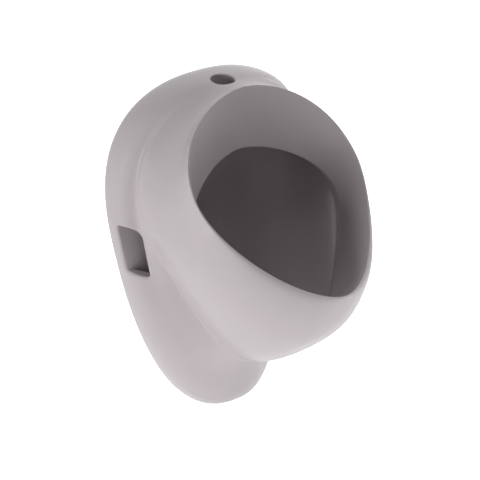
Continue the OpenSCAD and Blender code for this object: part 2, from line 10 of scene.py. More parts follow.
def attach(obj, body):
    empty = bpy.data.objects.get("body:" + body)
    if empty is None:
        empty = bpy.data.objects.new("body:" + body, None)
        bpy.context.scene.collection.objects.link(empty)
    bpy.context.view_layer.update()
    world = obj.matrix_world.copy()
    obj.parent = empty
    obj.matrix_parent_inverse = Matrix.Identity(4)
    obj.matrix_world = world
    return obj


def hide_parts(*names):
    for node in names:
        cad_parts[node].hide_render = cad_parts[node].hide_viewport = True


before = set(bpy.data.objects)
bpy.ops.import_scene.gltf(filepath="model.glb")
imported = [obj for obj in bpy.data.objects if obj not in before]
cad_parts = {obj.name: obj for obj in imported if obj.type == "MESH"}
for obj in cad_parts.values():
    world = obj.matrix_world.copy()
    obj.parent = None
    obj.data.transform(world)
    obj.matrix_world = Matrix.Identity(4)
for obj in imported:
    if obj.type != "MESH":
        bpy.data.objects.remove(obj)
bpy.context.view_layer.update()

scene = bpy.context.scene
mm = 0.001
urinalBody = "urinal"
cartridgeBody = "strainer_cartridge"


# Camera, at the photograph's viewing angle
cameraView = {
    "azimuth": -39.25,      # degrees from straight in front, minus is the left
    "elevation": 20.78,
    "roll": -1.62,
    "distance": 4.18,       # metres from the point it looks at
    "lookAt": (-0.01841, -0.11976, 0.00092),
    "focalPixels": 2916.9,
    "imagePixels": 480,
    "sensorWidth": 36.0,
}


def makeCamera():
    v = cameraView
    a, e, r = (math.radians(v[k]) for k in ("azimuth", "elevation", "roll"))
    back = Vector((math.sin(a) * math.cos(e), -math.cos(a) * math.cos(e), math.sin(e)))
    level = Vector((math.cos(a), math.sin(a), 0))
    rise = back.cross(level)
    right = level * math.cos(r) + rise * math.sin(r)
    up = rise * math.cos(r) - level * math.sin(r)
    data = bpy.data.cameras.new("viewCamera")
    data.sensor_fit = "HORIZONTAL"
    data.sensor_width = v["sensorWidth"]
    data.lens = v["focalPixels"] / v["imagePixels"] * v["sensorWidth"]
    data.clip_end = 50
    camera = bpy.data.objects.new("viewCamera", data)
    scene.collection.objects.link(camera)
    turn = camera.matrix_world.to_3x3()
    for i in range(3):
        turn[i] = (right[i], up[i], back[i])
    camera.matrix_world = turn.to_4x4()
    camera.location = Vector(v["lookAt"]) + back * v["distance"]
    scene.camera = camera


makeCamera()
print("camera set")


# Node helpers for the procedural finishes
def newMaterial(name):
    material = bpy.data.materials.new(name)
    material.use_nodes = True
    tree = material.node_tree
    return material, tree, tree.nodes["Principled BSDF"]


def addNode(tree, kind, **values):
    node = tree.nodes.new(kind)
    for key, value in values.items():
        if hasattr(node, key):
            setattr(node, key, value)
        else:
            node.inputs[key.replace("_", " ")].default_value = value
    return node


# parts of a noise's range over which a colour and a value go from low to high
noiseSpans = {"colour": (0.35, 0.65), "value": (0.3, 0.7)}


def noiseOf(tree, scale, detail):
    where = addNode(tree, "ShaderNodeTexCoord")
    noise = addNode(tree, "ShaderNodeTexNoise", Scale=scale, Detail=detail)
    tree.links.new(where.outputs["Object"], noise.inputs["Vector"])
    return noise


def mappedValue(tree, source, fromSpan, toSpan):
    spread = addNode(tree, "ShaderNodeMapRange")
    for name, value in zip(("From Min", "From Max", "To Min", "To Max"), (*fromSpan, *toSpan)):
        spread.inputs[name].default_value = value
    tree.links.new(source, spread.inputs["Value"])
    return spread.outputs["Result"]


def colourBetween(tree, factor, low, high):
    ramp = addNode(tree, "ShaderNodeValToRGB")
    for element, place, colour in zip(ramp.color_ramp.elements, noiseSpans["colour"], (low, high)):
        element.position = place
        element.color = (*colour, 1)
    tree.links.new(factor, ramp.inputs["Fac"])
    return ramp.outputs["Color"]


def valueBetween(tree, factor, low, high):
    return mappedValue(tree, factor, noiseSpans["value"], (low, high))


def addBump(tree, shader, height, depth):
    bump = addNode(tree, "ShaderNodeBump", Strength=1.0, Distance=depth)
    tree.links.new(height, bump.inputs["Height"])
    tree.links.new(bump.outputs["Normal"], shader.inputs["Normal"])


glaze = {
    "low": (0.474, 0.434, 0.446),
    "high": (0.498, 0.457, 0.470),
    "cloudScale": 9.0,
    "cloudDetail": 3.0,
    "rippleScale": 70.0,
    "rippleDetail": 1.0,
    "rippleDepth": 0.00006,
    "roughLow": 0.19,
    "roughHigh": 0.25,
    "specular": 0.15,
}


def makeGlaze():
    material, tree, shader = newMaterial("warmGreyGlaze")
    cloud = noiseOf(tree, glaze["cloudScale"], glaze["cloudDetail"])
    colour = colourBetween(tree, cloud.outputs["Fac"], glaze["low"], glaze["high"])
    rough = valueBetween(tree, cloud.outputs["Fac"], glaze["roughLow"], glaze["roughHigh"])
    tree.links.new(colour, shader.inputs["Base Color"])
    tree.links.new(rough, shader.inputs["Roughness"])
    ripple = noiseOf(tree, glaze["rippleScale"], glaze["rippleDetail"])
    addBump(tree, shader, ripple.outputs["Fac"], glaze["rippleDepth"])
    shader.inputs["Specular IOR Level"].default_value = glaze["specular"]
    return material


metalAndPlastic = {
    "chrome": {
        "low": (0.70, 0.71, 0.73), "high": (0.78, 0.79, 0.81), "metal": 1.0, "rough": (0.06, 0.14),
        "cloudScale": 40.0, "grainScale": 900.0, "grainDepth": 0.000004,
    },
    "zincSteel": {
        "low": (0.50, 0.50, 0.48), "high": (0.66, 0.66, 0.63), "metal": 1.0, "rough": (0.30, 0.44),
        "cloudScale": 220.0, "grainScale": 1500.0, "grainDepth": 0.00001,
    },
    "whitePlastic": {
        "low": (0.74, 0.74, 0.72), "high": (0.80, 0.80, 0.78), "metal": 0.0, "rough": (0.34, 0.46),
        "cloudScale": 30.0, "grainScale": 1200.0, "grainDepth": 0.00001,
    },
    "greyNylon": {
        "low": (0.38, 0.37, 0.36), "high": (0.46, 0.45, 0.44), "metal": 0.0, "rough": (0.42, 0.56),
        "cloudScale": 60.0, "grainScale": 1100.0, "grainDepth": 0.000012,
    },
    "blackRubber": {
        "low": (0.022, 0.022, 0.024), "high": (0.040, 0.040, 0.042), "metal": 0.0,
        "rough": (0.62, 0.80), "cloudScale": 80.0, "grainScale": 900.0, "grainDepth": 0.00003,
    },
}
finishDetail = {"cloud": 4.0, "grain": 2.0}


def makePlainFinish(name):
    v = metalAndPlastic[name]
    material, tree, shader = newMaterial(name)
    cloud = noiseOf(tree, v["cloudScale"], finishDetail["cloud"])
    colour = colourBetween(tree, cloud.outputs["Fac"], v["low"], v["high"])
    rough = valueBetween(tree, cloud.outputs["Fac"], *v["rough"])
    tree.links.new(colour, shader.inputs["Base Color"])
    tree.links.new(rough, shader.inputs["Roughness"])
    grain = noiseOf(tree, v["grainScale"], finishDetail["grain"])
    addBump(tree, shader, grain.outputs["Fac"], v["grainDepth"])
    shader.inputs["Metallic"].default_value = v["metal"]
    return material


slotFinishes = {
    "glazed_ceramic": makeGlaze(),
    "chrome": makePlainFinish("chrome"),
    "steel": makePlainFinish("zincSteel"),
    "nylon": makePlainFinish("greyNylon"),
    "rubber": makePlainFinish("blackRubber"),
    "white_plastic": makePlainFinish("whitePlastic"),
}
print("finishes made")


# Ceramic body: egg-shaped rings, bent forward, swept from the bowl's back over the lip to the wall
ceramic = {
    "height": 511.0,
    "width": 348.0,
    "depth": 327.0,
    "underFloor": 112.0,
    "housingDepth": 116.0,
    "wall": 12.0,
    "flange": 16.0,
    "lipThick": 3.5,
    "pointsAround": 224,
    "edgeSoft": 0.7,        # sharp inner edge of the bowl
    "lipInnerSoft": 0.9,
    "lipOuterSoft": 1.8,
    "creaseSoft": 1.3,      # crease between belly and housing, low on the sides
    "collarSoft": 11.0,     # the same crease where it fades out above
    "footSoft": 6.0,        # and where it fades out under the bowl
    "creaseDepth": 6.5,     # the housing dips towards the crease where that is crisp
    "creaseReach": 36.0,
    "brimRise": 1.6,        # and the belly stands out a little before it
    "brimReach": 16.0,
    "hollowSoft": 3.0,
    "wallSoft": 1.2,
    "mostSoft": 11.0,
    "leastSoft": 0.05,
    "softGrowth": 0.35,     # more softness per millimetre away from an edge
    "endSoft": 3.0,         # and never more than the way to the sweep's end over this
    "collarFades": (72, 106),       # angles round the body, 0 at the top and 180 at the foot
    "footFades": (134, 160),
    "crispStarts": (88, 110),
    "crispEnds": (128, 150),
    "fineStep": 0.5,        # rings before they are smoothed
    "ringSteps": (0.5, 7.0),        # least and most distance between the smoothed rings
    "quarterRings": 12,     # rings to a quarter turn, and between two key rings
    "cavityRings": 8,
    "hollowRings": 4,
    "squareness": 2.4,      # for points spread evenly round a ring
    "measureSteps": 48,     # points around a ring for measuring the sweep
    "sharpAngle": 32,
}
openings = {
    "pocketHeight": 73.4, "pocketWidth": 25.3, "pocketBack": 27.78, "pocketSlope": 0.41,
    "pocketDrop": 3.0, "pocketBigRound": 22.0, "pocketSmallRound": 3.2, "pocketDepth": 49.0,
    "pocketStep": 3.0, "pocketSoftEdge": 5.0, "pocketCrispEdge": 2.4, "cornerSteps": 13,
    "softTowards": (1.2, 0.9),      # softest where the edge faces the wall and the foot
    "padThick": 27.8, "padInside": 24.0, "padHeight": 100.0, "padEdge": 1.5, "padSteps": 25,
    "padOutlineSteps": 720,
    "inlet": 35.0, "inletBack": 68.0, "inletDepth": 36.0, "inletEdge": 1.6, "inletSteps": 96,
    "fixSpacing": 226.0, "fixHole": 12.0, "fixSteps": 48, "cutPast": 2.0,
    "wasteBack": 55.699, "wasteHole": 46.0, "wasteSeat": 56.6, "wasteSpot": 58.0, "wasteSteps": 64,
    "spotDepth": 3.0, "floorThick": 12.0, "seatDepth": 1.5, "holeEdge": 0.6,
    "cutterStart": 40.0,            # outside the widest ring
    "edgeReach": 5.0, "edgeSteps": 8, "edgeStart": 0.12,        # radians past the surface
    "flareSpread": 0.6, "flareReaches": (2.0, 0.4),             # in edge radii
}


# heights, widths and depths of the rings as shares of the body's, the floor's and the housing's
floorShare = 0.219
housingShare = 0.355
fixHeightShare = 0.549
# top, bottom, half width, widening, squareness above and below,
# distances of top, sides and bottom from the wall, skew
ringShares = {
    "wallEdge": (0.975, 0.048, 0.869, 0.35, 2.34, 2.66, 0.000, 0.000, 0.000, 0),
    "back": (0.980, 0.041, 0.883, 0.35, 2.34, 2.66, 0.009, 0.009, 0.009, 0),
    "crest": (1.000, 0.000, 0.917, 0.35, 2.40, 2.66, 0.061, 0.055, 0.104, 0.2),
    "shoulder": (0.992, 0.065, 0.796, 0.35, 2.32, 2.48, 0.220, 0.156, 0.284, 0),
    "neck": (0.989, 0.186, 0.805, 0.50, 2.00, 2.40, 0.250, 0.226, 0.355, -0.45),
    "belly": (0.988, 0.338, 0.838, 0.07, 1.92, 2.43, 0.324, 0.502, 0.850, 0.1),
    "lip": (0.990, 0.4855, 0.857, 0.12, 1.77, 1.80, 0.343, 0.590, 1.000, 0.07),
    "apron": (0.805, 0.355, 0.776, 0.18, 1.76, 2.10, 0.318, 0.506, 0.737, 0.5),
    "apronUnder": (0.804, 0.349, 0.776, 0.17, 1.78, 2.10, 0.303, 0.492, 0.728, 0.5),
    "flangeEdge": (0.921, 0.071, 0.494, 0.22, 2.50, 2.60, 0.000, 0.000, 0.000, 0),
}
cavityShares = (
    (0.839, 0.312, 0.842, 0.14, 1.90, 2.15, 0.281, 0.471, 0.713, 0.5),
    (0.985, 0.271, 0.816, 0.12, 2.10, 2.20, 0.278, 0.422, 0.648, 0.4),
    (0.989, 0.234, 0.782, 0.17, 2.20, 2.25, 0.251, 0.306, 0.538, 0.3),
    (0.989, 0.221, 0.701, 0.20, 2.20, 2.50, 0.190, 0.232, 0.391, 0.2),
    (0.972, 0.219, 0.563, 0.20, 2.20, 3.20, 0.135, 0.177, 0.263, 0.2),
    (0.915, 0.219, 0.437, 0.20, 2.20, 3.60, 0.113, 0.135, 0.128, 0.2),
    (0.807, 0.232, 0.333, 0.20, 2.20, 3.20, 0.101, 0.107, 0.080, 0),
    (0.700, 0.369, 0.195, 0.10, 2.00, 2.40, 0.092, 0.095, 0.076, 0),
)
cavityEnd = (0.089, 0.558)
hollowShares = (
    (0.991, 0.006, 0.897, 0.32, 2.45, 2.60, 0.064, 0.064, 0.076, 0),
    (0.999, -0.002, 0.922, 0.34, 2.40, 2.60, 0.076, 0.076, 0.122, 0.1),
    (0.983, 0.015, 0.822, 0.35, 2.35, 2.50, 0.092, 0.128, 0.232, 0.1),
    (0.944, 0.068, 0.764, 0.30, 2.30, 2.40, 0.086, 0.150, 0.269, 0.1),
    (0.909, 0.144, 0.701, 0.26, 2.25, 2.40, 0.076, 0.141, 0.294, 0.1),
)
bowlBackShares = (
    (0.819, 0.239, 0.471, 0.22, 2.25, 3.20, 0.104, 0.144, 0.294, 0.1),
    (0.760, 0.239, 0.356, 0.20, 2.20, 3.60, 0.098, 0.113, 0.141, 0.1),
    (0.662, 0.251, 0.207, 0.20, 2.20, 2.80, 0.089, 0.095, 0.080, 0),
    (0.604, 0.396, 0.046, 0.20, 2.00, 2.20, 0.086, 0.089, 0.078, 0),
)
bowlBackEnd = (0.086, 0.513)


def heightAt(share):
    if share < floorShare:
        return share / floorShare * ceramic["underFloor"]
    rest = (share - floorShare) / (1 - floorShare)
    return ceramic["underFloor"] + rest * (ceramic["height"] - ceramic["underFloor"])


def depthAt(share):
    if share < housingShare:
        return share / housingShare * ceramic["housingDepth"]
    rest = (share - housingShare) / (1 - housingShare)
    return ceramic["housingDepth"] + rest * (ceramic["depth"] - ceramic["housingDepth"])


fixHeight = heightAt(fixHeightShare)


def ringOf(shares, inset=0.0):
    s = shares
    return np.array((heightAt(s[0]) - inset, heightAt(s[1]) + inset,
                     s[2] * ceramic["width"] / 2 - inset, s[3], s[4], s[5],
                     -depthAt(s[6]), -depthAt(s[7]), -depthAt(s[8]), s[9]), float)


def movedBack(ring, distance):
    out = ring.copy()
    out[6:9] += distance
    return out


def mixRings(a, b, shape, low, along):
    # from ring a to ring b, with shares of their own for the lower end and for the depths
    share = np.full(len(a), shape, float)
    share[1] = low
    share[6:9] = along
    return a + (b - a) * share


def evenAngles(count):
    t = np.arange(count) * 2 * np.pi / count
    s, c = np.sin(t), np.cos(t)
    half = ceramic["squareness"] / 2
    return np.arctan2(np.sign(s) * np.abs(s) ** half, np.sign(c) * np.abs(c) ** half)


def ringPoints(ring, angles):
    top, bottom, half, widening, above, below, yTop, ySide, yBottom, skew = ring
    s, c = np.sin(angles), np.cos(angles)
    n = (above + below) / 2 + (above - below) / 2 * c
    u = np.sign(c) * np.abs(c) ** (2 / n)
    x = half * np.sign(s) * np.abs(s) ** (2 / n) * (1 + widening * u)
    bend = (yTop + yBottom) / 2 - ySide
    lean = (yTop - yBottom) / 2
    y = ySide + bend * u ** 2 + lean * ((1 - skew) * u + skew * u ** 3)
    z = (top + bottom) / 2 + (top - bottom) / 2 * u
    return np.stack((x, y, z), -1)


def splineThrough(rings, steps):
    keys = [2 * rings[0] - rings[1], *rings, 2 * rings[-1] - rings[-2]]
    out = []
    for i in range(1, len(keys) - 2):
        a, b, c, d = keys[i - 1:i + 3]
        for t in np.arange(steps) / steps:
            out.append(0.5 * (2 * b + (c - a) * t + (2 * a - 5 * b + 4 * c - d) * t ** 2
                              + (3 * b - a - 3 * c + d) * t ** 3))
    out.append(keys[-2])
    return out


def sweepRings():
    # rings from the bowl's back to the hollow's back, and how softly the sweep turns at some
    c, w = ceramic, ceramic["wall"]
    r = {name: ringOf(s) for name, s in ringShares.items()}
    floorUnder = (heightAt(floorShare) + w - openings["seatDepth"] - openings["spotDepth"]
                  - openings["floorThick"])
    bowlBack = [movedBack(ringOf(s, -w), w) for s in bowlBackShares]
    for ring in bowlBack[:2]:
        ring[1] = floorUnder
    quarter = np.arange(1, c["quarterRings"] + 1) / c["quarterRings"] * np.pi / 2
    rise = [math.sin(t) for t in quarter]
    fall = [1 - math.cos(t) for t in quarter]
    even = [t * 2 / np.pi for t in quarter]

    def turned(a, b, shape, low, along):
        return [mixRings(r[a], r[b], *shares) for shares in zip(shape, low, along)]

    parts = (
        (splineThrough([ringOf(s, w) for s in cavityShares[::-1]], c["cavityRings"]), None),
        ([r["apronUnder"]], c["edgeSoft"]),
        ([r["apron"]], c["edgeSoft"]),
        ([ringOf(ringShares["lip"], c["lipThick"])], c["lipInnerSoft"]),
        ([r["lip"]], c["lipOuterSoft"]),
        (turned("lip", "belly", rise, fall, fall), None),
        (turned("belly", "neck", fall, rise, even)[:-1], None),
        ([r["neck"]], "crease"),
        ([r["shoulder"]], None),
        (turned("shoulder", "crest", rise, rise, fall), None),
        (turned("crest", "back", fall, fall, rise), None),
        ([r["wallEdge"]], c["wallSoft"]),
        ([r["flangeEdge"]], c["wallSoft"]),
        ([movedBack(r["flangeEdge"], -c["flange"])], c["wallSoft"]),
        (splineThrough([ringOf(s, w) for s in hollowShares], c["hollowRings"]), c["hollowSoft"]),
        (splineThrough(bowlBack, c["hollowRings"]), c["hollowSoft"]),
    )
    rings, soft = [], []
    for members, softness in parts:
        rings += members
        soft += [softness] * len(members)
    return rings, soft


def easeBetween(value, low, high):
    t = np.clip((value - low) / (high - low), 0, 1)
    return t * t * (3 - 2 * t)


def foldAngle(angles):
    # 0 at the top, 180 at the foot
    return np.degrees(np.minimum(angles % (2 * np.pi), (-angles) % (2 * np.pi)))


def creaseSoftness(angles):
    c = ceramic
    fold = foldAngle(angles)
    collar = (c["collarSoft"] - c["creaseSoft"]) * (1 - easeBetween(fold, *c["collarFades"]))
    foot = (c["footSoft"] - c["creaseSoft"]) * easeBetween(fold, *c["footFades"])
    return c["creaseSoft"] + collar + foot


def creaseDip(points, behind, angles):
    # points pushed in just behind the crease and out just before it, most where it is crisp
    along = np.gradient(points, axis=0)
    around = np.roll(points, -1, axis=1) - np.roll(points, 1, axis=1)
    inward = np.cross(along, around)
    inward /= np.linalg.norm(inward, axis=2, keepdims=True) + 1e-9
    c, fold = ceramic, foldAngle(angles)
    crisp = easeBetween(fold, *c["crispStarts"]) * (1 - easeBetween(fold, *c["crispEnds"]))
    dip = (1 - easeBetween(behind, 0, c["creaseReach"])) * c["creaseDepth"]
    brim = np.clip(1 + behind / c["brimReach"], 0, 1) ** 2 * c["brimRise"]
    depth = np.where(behind > 0, dip, -brim)
    return points + inward * (depth[:, None] * crisp)[:, :, None]


def smoothedSweep(angles):
    # close rings along the sweep, each point averaged with those before and after it
    c, spacing = ceramic, ceramic["fineStep"]
    rings, soft = sweepRings()
    coarse = [ringPoints(q, evenAngles(c["measureSteps"])) for q in rings]
    gaps = [np.linalg.norm(b - a, axis=1).mean() for a, b in zip(coarse, coarse[1:])]
    along = np.concatenate(([0], np.cumsum(gaps)))
    fine = np.arange(0, along[-1], spacing)
    params = np.stack([np.interp(fine, along, values) for values in np.array(rings).T], 1)
    points = np.array([ringPoints(q, angles) for q in params])
    crease = along[soft.index("crease")]
    points = creaseDip(points, fine - crease, angles)
    keys = [(along[i], creaseSoftness(angles) if v == "crease" else np.full(len(angles), v))
            for i, v in enumerate(soft) if v is not None]
    least, most = c["ringSteps"]
    out, s, reach = [], 0.0, along[-1]
    while s < reach:
        sigma = np.full(len(angles), c["mostSoft"])
        for place, softness in keys:
            sigma = np.minimum(sigma, softness + c["softGrowth"] * abs(s - place))
        sigma = np.minimum(sigma, max(min(s, reach - s) / c["endSoft"], c["leastSoft"]))
        near = np.abs(fine - s) <= 3 * sigma.max() + spacing
        weight = np.exp(-0.5 * ((fine[near, None] - s) / sigma) ** 2)
        weight /= weight.sum(0)
        out.append((weight[:, :, None] * points[near]).sum(0))
        s += min(max(0.5 * sigma.min(), least), most)
    return out


def meshObject(name, points, faces):
    data = bpy.data.meshes.new(name)
    data.from_pydata([tuple(p) for p in points], [], faces)
    data.update()
    piece = bpy.data.objects.new(name, data)
    scene.collection.objects.link(piece)
    return piece


def sweptShell():
    count = ceramic["pointsAround"]
    sweep = smoothedSweep(evenAngles(count))
    back = ceramic["wall"] - depthAt(bowlBackEnd[0])
    points = [(0, -depthAt(cavityEnd[0]), heightAt(cavityEnd[1]))]
    points += [p for ring in sweep for p in ring]
    points.append((0, back, heightAt(bowlBackEnd[1])))
    faces = []
    last = len(sweep) - 1
    for j in range(count):
        k = (j + 1) % count
        faces.append((0, 1 + k, 1 + j))
        for i in range(last):
            a, b = 1 + i * count, 1 + (i + 1) * count
            faces.append((a + k, b + k, b + j, a + j))
        faces.append((len(points) - 1, 1 + last * count + j, 1 + last * count + k))
    print("shell rings", len(sweep))
    return meshObject("ceramicShell", (np.array(points) - (0, 0, fixHeight)) * mm, faces)


def cappedLoft(loops):
    # points and faces of a solid through these loops, with flat ends
    count = len(loops[0])
    points = [p for loop in loops for p in loop]
    faces = [tuple(range(count))[::-1], tuple(range(len(points) - count, len(points)))]
    for i in range(len(loops) - 1):
        for j in range(count):
            k = (j + 1) % count
            faces.append((i * count + j, i * count + k, (i + 1) * count + k, (i + 1) * count + j))
    return points, faces


def turnedLoops(profile, place, count, shape=None):
    # loops about an axis, one for each pair of radius and distance along it
    loops = []
    for radius, along in profile:
        loop = []
        for t in np.arange(count) * 2 * np.pi / count:
            r = shape(radius, along, t) if shape else radius
            loop.append(place(r * math.cos(t), r * math.sin(t), along))
        loops.append(loop)
    return loops


def onWaste(x, y, along):
    return x, y - openings["wasteBack"], along - fixHeight


def atFixing(side):
    return lambda x, z, along: (x + side * openings["fixSpacing"] / 2, along, z)


def pocketOutline():
    # points of the opening seen from the side, and the way out of it at each
    o = openings
    back, front = o["pocketBack"], o["pocketBack"] + o["pocketWidth"]
    top, bottom = o["pocketHeight"] / 2 - o["pocketDrop"], -o["pocketHeight"] / 2 - o["pocketDrop"]
    middle = (back + front) / 2
    small, big = o["pocketSmallRound"], o["pocketBigRound"]
    tilt = math.degrees(math.atan(o["pocketSlope"]))
    corners = ((front - small, bottom + small, small, -90 - tilt, 0),
               (front - big, top - big, big, 0, 90 - tilt),
               (back + small, top - small, small, 90 - tilt, 180),
               (back + small, bottom + small, small, 180, 270 - tilt))
    rounded = []
    for y, z, radius, start, end in corners:
        for t in np.radians(np.linspace(start, end, o["cornerSteps"])):
            way = np.array((math.cos(t), math.sin(t)))
            rounded.append(((y, z - o["pocketSlope"] * (y - middle)) + radius * way, way))
    points, ways = [], []
    for (spot, way), (after, _) in zip(rounded, rounded[1:] + rounded[:1]):
        steps = max(1, int(math.dist(spot, after) / o["pocketStep"]))
        for part in range(steps):
            points.append(spot + (after - spot) * part / steps)
            ways.append(way)
    return np.array(points), np.array(ways)


def surfaceSpot(tree, start, way):
    spot, slope = tree.ray_cast(Vector(start) * mm, Vector(way))[:2]
    return np.array(spot) / mm, np.array(slope)


def roundedEdge(spot, slope, inward, outward, radius):
    # from clear of the surface, round the edge, to the hole's wall
    o = openings
    lean, rise = slope @ outward, -(slope @ inward)
    length = math.hypot(lean, rise)
    lean, rise = lean / length, rise / length
    radius = min(radius, o["edgeReach"] * rise / (1 + lean))    # smaller where the edge is acute
    middle = spot + outward * radius + inward * radius * (1 + lean) / rise
    points = []
    for t in np.linspace(math.atan2(rise, lean) + o["edgeStart"], math.pi, o["edgeSteps"]):
        points.append(middle + radius * (math.cos(t) * outward - math.sin(t) * inward))
    away = slope + o["flareSpread"] * outward
    return [*(points[0] + away * reach * radius for reach in o["flareReaches"]), *points]


def roundedHole(spots, ways, inward, radii, tree, inside):
    # cutter with a rounded edge for a hole with this outline
    outside = openings["cutterStart"]
    columns = []
    found = [surfaceSpot(tree, spot - inward * outside, inward) for spot in spots]
    hits, slopes = (np.array(v) for v in zip(*found))
    slopes = sum(np.roll(slopes, shift, axis=0) for shift in range(-2, 3)) / 5      # evened out
    for spot, way, radius, hit, slope in zip(spots, ways, radii, hits, slopes):
        edge = roundedEdge(hit, slope / np.linalg.norm(slope), inward, way, radius)
        start = edge[0] + inward * ((spot - edge[0]) @ inward - outside)
        columns.append([start, *edge, spot + inward * inside])
    return cappedLoft([list(loop) for loop in zip(*columns)])


def pocketCutter(tree, side):
    o = openings
    points, ways = pocketOutline()
    wallShare, footShare = o["softTowards"]
    towardsWall = np.clip(-ways[:, 0] * wallShare - ways[:, 1] * footShare, 0, 1)
    radii = o["pocketCrispEdge"] + (o["pocketSoftEdge"] - o["pocketCrispEdge"]) * towardsWall
    middle = side * ceramic["width"] / 2
    spots = [np.array((middle, -y, z)) for y, z in points]
    outwards = [np.array((0, -y, z)) for y, z in ways]
    return roundedHole(spots, outwards, np.array((-side, 0, 0)), radii, tree, o["pocketDepth"])


def inletCutter(tree):
    o = openings
    count = o["inletSteps"]
    ways = [np.array((math.cos(t), math.sin(t), 0)) for t in np.arange(count) * 2 * np.pi / count]
    top = ceramic["height"] - fixHeight
    spots = [np.array((0, -o["inletBack"], top)) + way * o["inlet"] / 2 for way in ways]
    down = np.array((0, 0, -1))
    return roundedHole(spots, ways, down, [o["inletEdge"]] * count, tree, o["inletDepth"])


def wasteCutter():
    o = openings
    floorTop = heightAt(floorShare) + ceramic["wall"] - o["seatDepth"]
    floorUnder = floorTop - o["floorThick"]
    hole, seat, spot = (o[name] / 2 for name in ("wasteHole", "wasteSeat", "wasteSpot"))
    edge = o["holeEdge"]
    profile = [(spot, floorUnder - ceramic["wall"]), (spot, floorUnder), (hole + edge, floorUnder),
               (hole, floorUnder + edge), (hole, floorTop - edge), (hole + edge, floorTop),
               (seat, floorTop), (seat, floorTop + ceramic["wall"])]
    return cappedLoft(turnedLoops(profile, onWaste, o["wasteSteps"]))


def fixingCutter(side):
    o = openings
    hole, edge, thick, past = o["fixHole"] / 2, o["holeEdge"], o["padThick"], o["cutPast"]
    profile = [(hole + edge, past), (hole + edge, 0), (hole, -edge), (hole, edge - thick),
               (hole + edge, -thick), (hole + edge, -thick - past)]
    return cappedLoft(turnedLoops(profile, atFixing(side), o["fixSteps"]))


def fixingPad(side):
    # thick pad behind each wall fixing, from inside the flange to the pocket's back face
    o = openings
    ring = ringOf(ringShares["crest"], ceramic["wall"] / 3)
    outline = ringPoints(ring, evenAngles(o["padOutlineSteps"]))
    outline = outline[outline[:, 0] > 0]
    order = outline[:, 2].argsort()
    half, start = o["padHeight"] / 2, o["fixSpacing"] / 2 - o["padInside"]
    thick, edge = o["padThick"], o["padEdge"]
    loops = []
    for depth, less in ((ceramic["flange"] / 2, 0), (thick - edge, 0), (thick, edge)):
        heights = np.linspace(-half + less, half - less, o["padSteps"])
        outer = np.interp(heights + fixHeight, outline[order, 2], outline[order, 0])
        inner = np.full(o["padSteps"], start + less)
        x = np.concatenate((inner, outer[::-1])) * side
        loops.append([(a, -depth, b) for a, b in zip(x, np.concatenate((heights, heights[::-1])))])
    return cappedLoft(loops)


def joinedMesh(name, pieces):
    points, faces = [], []
    for p, f in pieces:
        shift = len(points)
        points += p
        faces += [tuple(i + shift for i in face) for face in f]
    piece = meshObject(name, np.array(points) * mm, faces)
    bm = bmesh.new()
    bm.from_mesh(piece.data)
    bmesh.ops.recalc_face_normals(bm, faces=bm.faces)
    bm.to_mesh(piece.data)
    bm.free()
    return piece


def appliedModifiers(piece):
    bpy.context.view_layer.update()
    graph = bpy.context.evaluated_depsgraph_get()
    data = bpy.data.meshes.new_from_object(piece.evaluated_get(graph))
    piece.modifiers.clear()
    piece.data = data
    return piece


def applyBooleans(piece, steps):
    for operation, other in steps:
        step = piece.modifiers.new(other.name, "BOOLEAN")
        step.operation = operation
        step.solver = "EXACT"
        step.object = other
    appliedModifiers(piece)
    for _, other in steps:
        bpy.data.objects.remove(other)


def smoothByAngle(piece, degrees):
    for polygon in piece.data.polygons:
        polygon.use_smooth = True
    bm = bmesh.new()
    bm.from_mesh(piece.data)
    for edge in bm.edges:
        if len(edge.link_faces) == 2:
            edge.smooth = edge.calc_face_angle(0) < math.radians(degrees)
    bm.to_mesh(piece.data)
    bm.free()


def makeCeramic():
    shell = sweptShell()
    tree = BVHTree.FromObject(shell, bpy.context.evaluated_depsgraph_get())
    pads = joinedMesh("fixingPads", [fixingPad(-1), fixingPad(1)])
    cutter = joinedMesh("ceramicCutter", [
        pocketCutter(tree, -1), pocketCutter(tree, 1), inletCutter(tree), wasteCutter(),
        fixingCutter(-1), fixingCutter(1)])
    applyBooleans(shell, (("UNION", pads), ("DIFFERENCE", cutter)))
    smoothByAngle(shell, ceramic["sharpAngle"])
    even = shell.modifiers.new("evenShading", "WEIGHTED_NORMAL")
    even.keep_sharp = True
    appliedModifiers(shell)
    shell.data.materials.clear()
    shell.data.materials.append(slotFinishes["glazed_ceramic"])
    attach(shell, urinalBody)
    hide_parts("ceramic_body")
    print("ceramic", len(shell.data.vertices), "vertices")


makeCeramic()


# Waste, trap and fixings: turned pieces with softened edges, threads, grips and slots
turning = {
    "aroundSteps": 64,
    "softCorner": 0.35,
    "cornerShare": 0.45,        # most of a side that its corner may take
    "threadRows": 4,            # rows to one turn of a thread
    "boreGap": 0.2,
    "sameRadius": 1e-6,
    "sharpAngle": 35,
}


def softened(outline):
    # corners of an outline rounded off
    reach, share = turning["softCorner"], turning["cornerShare"]
    out = []
    for i, p in enumerate(outline):
        p = np.array(p, float)
        before, after = (np.array(outline[k % len(outline)], float) - p for k in (i - 1, i + 1))
        lengths = (max(np.linalg.norm(v), reach) for v in (before, after))
        a, b = (v * min(reach / length, share) for v, length in zip((before, after), lengths))
        out += [p + a * (1 - t) ** 2 + b * t ** 2 for t in (0, 0.5, 1)]
    return out


def closedLoft(loops):
    # the same without ends: the last loop joins the first
    points, faces = cappedLoft(loops)
    count, last = len(loops[0]), (len(loops) - 1) * len(loops[0])
    nexts = [(j + 1) % count for j in range(count)]
    return points, faces[2:] + [(last + j, last + k, k, j) for j, k in enumerate(nexts)]


def turnedRing(outline, place, count=turning["aroundSteps"]):
    return closedLoft(turnedLoops(softened(outline), place, count))


